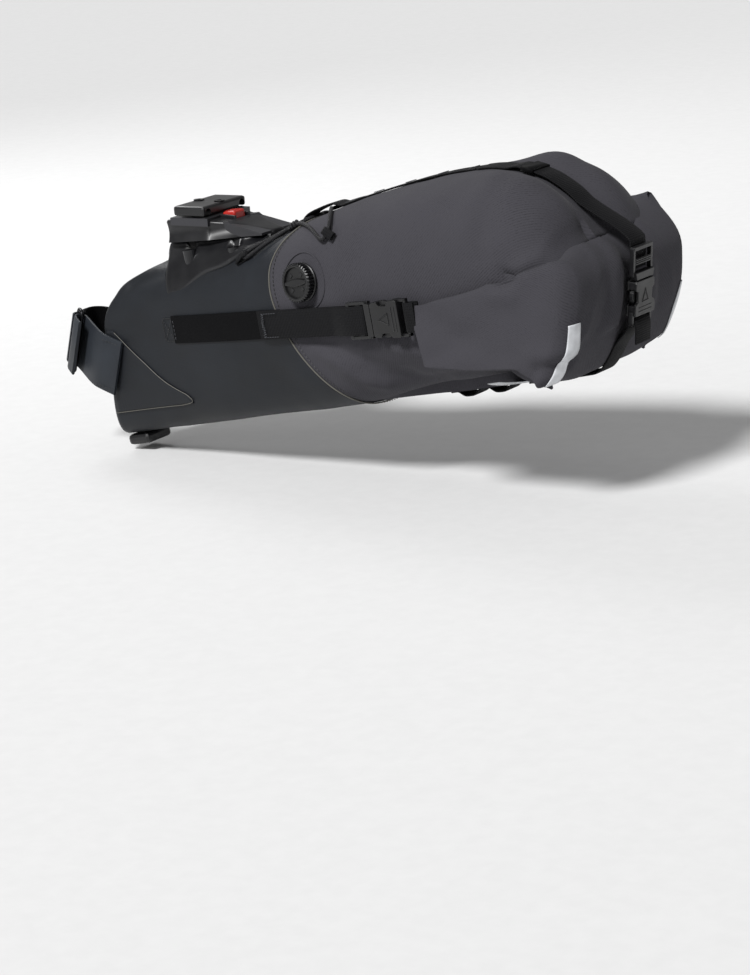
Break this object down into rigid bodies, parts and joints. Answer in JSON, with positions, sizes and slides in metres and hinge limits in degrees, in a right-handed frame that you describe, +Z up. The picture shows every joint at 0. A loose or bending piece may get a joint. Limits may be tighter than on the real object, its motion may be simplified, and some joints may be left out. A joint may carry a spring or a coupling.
{
  "type": "bicycle saddle bag",
  "caption": "Long roll-top bicycle saddle bag with a quick-release saddle-rail adapter, buckled wings, rear strap, elastic cord, air valve and a seatpost strap with a ring.",
  "frame": {"origin": "middle of the flat platform that the two saddle rails lie on, on top of the adapter", "axes": "+X rearwards along the saddle rails, -Y to the left side of the bicycle, +Z up"},
  "size_m": [0.5324, 0.1718, 0.2356],
  "materials": {
    "laminate": "matt coated fabric, welded seams",
    "twill": "woven polyester with a fine diagonal rib",
    "webbing": "woven nylon webbing",
    "loop_tape": "brushed loop pile",
    "black_plastic": "moulded acetal, fine texture",
    "grey_nylon": "glass-filled nylon, fine texture",
    "red_plastic": "moulded, semi-gloss",
    "reflective": "retroreflective film",
    "steel": "zinc plated",
    "black_steel": "black oxide",
    "stiff_sheet": "polyethylene sheet",
    "cord": "woven sheath over rubber"
  },
  "bodies": {
    "adapter": {"adapter_body": "grey_nylon", "clamp_nut_front": "steel", "clamp_nut_rear": "steel", "latch_pin": "steel"},
    "rail_clamp": {"rail_clamp_plate": "black_plastic", "clamp_bolt_front": "black_steel", "clamp_bolt_rear": "black_steel"},
    "button": {"release_button": "red_plastic"},
    "lever": {"latch_lever": "black_plastic"},
    "cap": {"valve_cap": "black_plastic"},
    "side_strap_left": {"side_webbing_left": "webbing", "side_buckle_male_left": "black_plastic"},
    "side_strap_right": {"side_webbing_right": "webbing", "side_buckle_male_right": "black_plastic"},
    "rear_strap_end": {"rear_buckle_male": "black_plastic"},
    "flap": {"strap_flap": "webbing"},
    "bag": {"base_plate": "black_plastic", "rear_buckle_female": "black_plastic", "nose_bumper": "black_plastic", "valve_body": "black_plastic", "valve_nut": "black_plastic", "side_buckle_female_left": "black_plastic", "side_buckle_female_right": "black_plastic", "strap_ring": "black_steel", "plate_screw_front_left": "black_steel", "plate_screw_front_right": "black_steel", "plate_screw_rear_left": "black_steel", "plate_screw_rear_right": "black_steel", "backing_plate": "stiff_sheet", "base_stiffener": "stiff_sheet", "nose_stiffener": "stiff_sheet", "front_shell": "laminate", "nose_patch_left": "laminate", "nose_patch_right": "laminate", "main_shell": "twill", "roll_closure": "twill", "top_webbing": "webbing", "rear_strap_upper": "webbing", "rear_strap_keeper": "webbing", "rear_strap_lower": "webbing", "under_webbing": "webbing", "post_strap": "webbing", "ring_strap": "webbing", "wing_tab_left": "webbing", "wing_tab_right": "webbing", "cord_tab_front_left": "webbing", "cord_tab_front_right": "webbing", "cord_tab_rear_left": "webbing", "cord_tab_rear_right": "webbing", "loop_tape_left": "loop_tape", "loop_tape_right": "loop_tape", "reflective_rear_left": "reflective", "reflective_rear_right": "reflective", "reflective_low_left": "reflective", "reflective_low_right": "reflective", "elastic_cord": "cord"}
  },
  "joints": [
    {"name": "rail_clamp_lift", "type": "slide", "parent": "adapter", "child": "rail_clamp", "axis": [0, 0, 1], "range_m": [0, 0.006]},
    {"name": "release_button_press", "type": "slide", "parent": "adapter", "child": "button", "axis": [0.0872, 0, -0.9962], "range_m": [0, 0.003], "stiffness_N_per_m": 500, "springref_m": -0.001},
    {"name": "latch_lever_tilt", "type": "hinge", "parent": "adapter", "child": "lever", "pos_m": [0.03426, 0, -0.01415], "axis": [0, -1, 0], "range_deg": [0, 14.4]},
    {"name": "bag_slide", "type": "slide", "parent": "adapter", "child": "bag", "axis": [0.9962, 0, 0.0872], "range_m": [0, 0.07]},
    {"name": "valve_cap_turn", "type": "hinge", "parent": "bag", "child": "cap", "pos_m": [0.12789, -0.06028, -0.03802], "axis": [-0.1792, -0.9796, 0.0908], "range_deg": [0, 90]},
    {"name": "side_strap_left_slide", "type": "slide", "parent": "bag", "child": "side_strap_left", "axis": [-0.9873, 0.103, -0.1214], "range_m": [0, 0.03]},
    {"name": "side_strap_right_slide", "type": "slide", "parent": "bag", "child": "side_strap_right", "axis": [-0.9873, -0.103, -0.1214], "range_m": [0, 0.03]},
    {"name": "rear_buckle_slide", "type": "slide", "parent": "bag", "child": "rear_strap_end", "axis": [0.0872, 0, 0.9962], "range_m": [0, 0.022]},
    {"name": "strap_flap_peel", "type": "hinge", "parent": "bag", "child": "flap", "pos_m": [-0.13829, -0.01732, -0.10417], "axis": [0.284, 0, 0.9588], "range_deg": [0, 95]}
  ],
  "couplings": [
    {"joint": "latch_lever_tilt", "follows": "release_button_press", "rad_per_m": 83.3}
  ]
}
